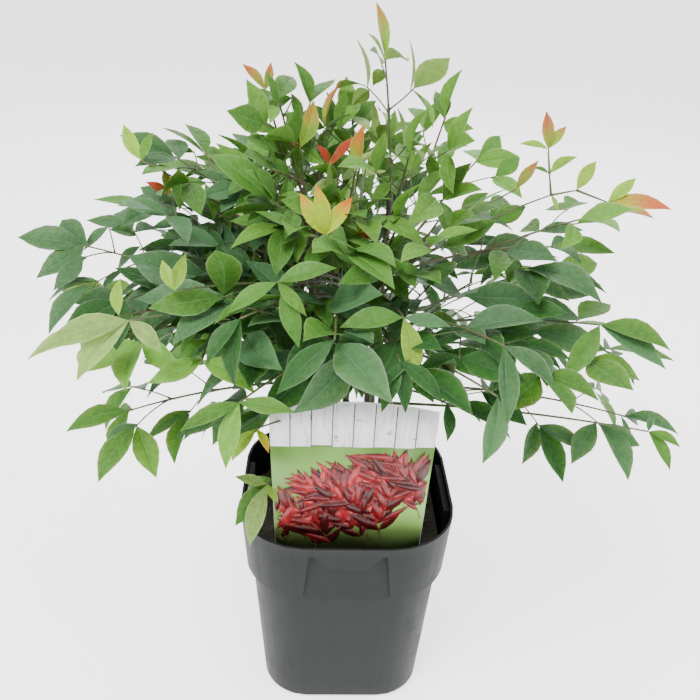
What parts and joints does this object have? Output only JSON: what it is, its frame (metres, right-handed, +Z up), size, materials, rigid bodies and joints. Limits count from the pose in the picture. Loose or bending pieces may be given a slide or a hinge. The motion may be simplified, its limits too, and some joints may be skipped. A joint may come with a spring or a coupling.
{
  "type": "potted heavenly bamboo shrub",
  "caption": "Bushy heavenly bamboo with compound leaves in layered sprays, growing in a square tapered nursery pot with a leaning picture label.",
  "frame": {"origin": "centre of the pot's flat underside", "axes": "+Z up along the canes, -Y towards the side with the label, +X to the right as seen from that side"},
  "size_m": [0.4316, 0.3485, 0.4836],
  "materials": {
    "pot_plastic": "satin grey-black moulded plastic",
    "peat": "moist dark peat with bark crumbs",
    "label_card": "printed plastic card",
    "cane_bark": "thin furrowed bark with leaf-base sheaths",
    "stalk_skin": "smooth olive-brown leaf stalk",
    "foliage": "leathery leaflets, semi-gloss above"
  },
  "bodies": {
    "root": {"pot": "pot_plastic", "root_ball": "peat", "label": "label_card", "cane_1": "cane_bark", "cane_2": "cane_bark", "cane_3": "cane_bark", "cane_4": "cane_bark", "cane_5": "cane_bark", "cane_6": "cane_bark", "cane_7": "cane_bark", "hanging_stalk_1": "stalk_skin", "hanging_stalk_2": "stalk_skin", "hanging_stalk_3": "stalk_skin", "hanging_stalk_4": "stalk_skin", "hanging_stalk_5": "stalk_skin", "hanging_stalk_6": "stalk_skin", "hanging_stalk_7": "stalk_skin", "hanging_leaf_1": "foliage", "hanging_leaf_2": "foliage", "hanging_leaf_3": "foliage", "hanging_leaf_4": "foliage", "hanging_leaf_5": "foliage", "hanging_leaf_6": "foliage", "hanging_leaf_7": "foliage", "spreading_leaf_1": "foliage", "spreading_leaf_2": "foliage", "spreading_leaf_3": "foliage", "spreading_leaf_4": "foliage", "spreading_leaf_5": "foliage", "spreading_leaf_6": "foliage", "rising_leaf_1": "foliage", "rising_leaf_2": "foliage", "rising_leaf_3": "foliage", "rising_leaf_4": "foliage", "rising_leaf_5": "foliage", "rising_leaf_6": "foliage", "rising_leaf_7": "foliage", "rising_leaf_8": "foliage", "rising_leaf_9": "foliage", "crest_leaf_1": "foliage", "crest_leaf_2": "foliage", "crest_leaf_3": "foliage", "crest_leaf_4": "foliage", "crest_leaf_5": "foliage", "crest_leaf_6": "foliage", "crest_leaf_7": "foliage", "inner_leaf_1": "foliage", "inner_leaf_2": "foliage", "inner_leaf_3": "foliage", "inner_leaf_4": "foliage", "inner_leaf_5": "foliage", "inner_leaf_6": "foliage", "inner_leaf_7": "foliage", "inner_leaf_8": "foliage", "inner_leaf_9": "foliage", "inner_leaf_10": "foliage", "inner_leaf_11": "foliage", "inner_leaf_12": "foliage", "sprig_leaf_1": "foliage"}
  },
  "joints": []
}
